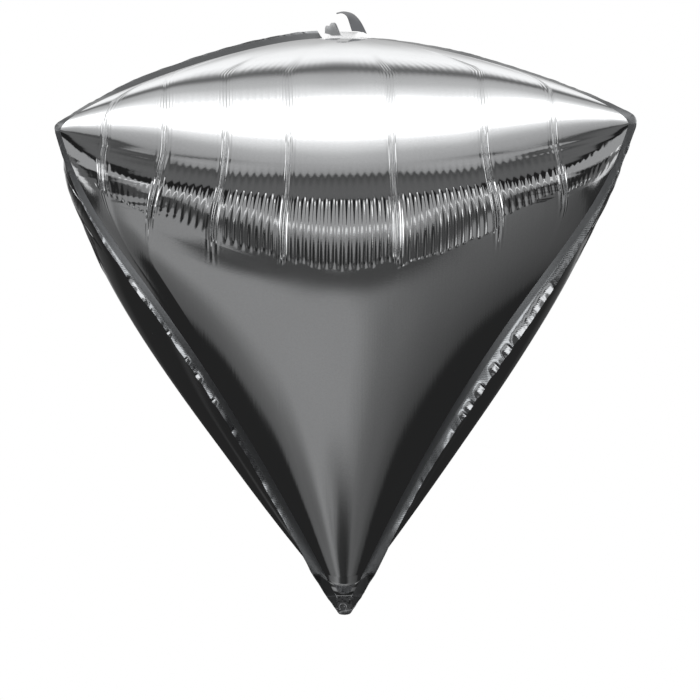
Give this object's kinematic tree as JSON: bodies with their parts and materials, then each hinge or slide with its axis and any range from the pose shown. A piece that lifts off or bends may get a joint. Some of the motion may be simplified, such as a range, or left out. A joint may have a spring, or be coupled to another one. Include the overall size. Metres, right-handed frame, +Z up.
{
  "type": "foil balloon",
  "caption": "Inflated metallised-film balloon in the form of an upside-down pyramid with a domed top, heat-sealed along its edges, with a fill tail on top.",
  "frame": {"origin": "lowest point of the bottom tip's seal, where a ribbon is tied and the balloon is held in the air", "axes": "+Z up from the bottom tip to the apex; the front panel faces -Y, the right panel faces +X"},
  "size_m": [0.3798, 0.3798, 0.4268],
  "materials": {
    "film": "bright metallised film, slightly satin",
    "seal": "heat-sealed metallised film, crinkled",
    "tail": "loose metallised film"
  },
  "bodies": {
    "root": {"panel_front": "film", "panel_right": "film", "panel_back": "film", "panel_left": "film", "seam_fin_front_right": "seal", "seam_fin_back_right": "seal", "seam_fin_back_left": "seal", "seam_fin_front_left": "seal", "tip_seal": "seal", "fill_neck": "tail", "fill_tail": "tail"}
  },
  "joints": []
}
